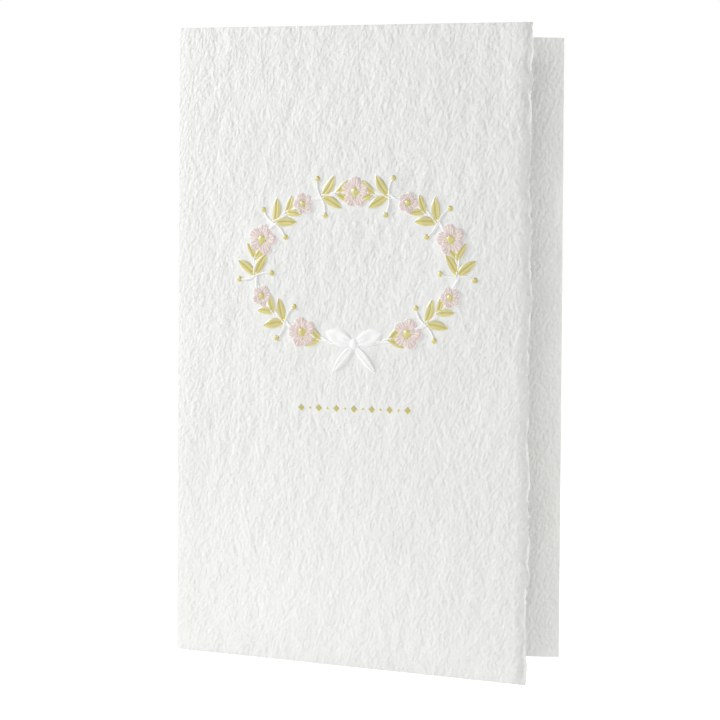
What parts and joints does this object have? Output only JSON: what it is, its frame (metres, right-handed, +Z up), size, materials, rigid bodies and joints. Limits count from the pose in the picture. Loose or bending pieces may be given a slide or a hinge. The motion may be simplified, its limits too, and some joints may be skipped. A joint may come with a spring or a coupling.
{
  "type": "greeting card",
  "caption": "Folded greeting card of handmade paper, standing slightly open, with a torn front edge and an embossed flower wreath.",
  "frame": {"origin": "under the middle of the card's box, on the surface that it stands on", "axes": "+Z up along the card's height, the front panel faces -Y, the fold is at -X and both free edges are towards +X"},
  "size_m": [0.1138, 0.0522, 0.178],
  "materials": {
    "handmade_paper": "matt"
  },
  "bodies": {
    "root": {"folded_card": "handmade_paper"}
  },
  "joints": []
}
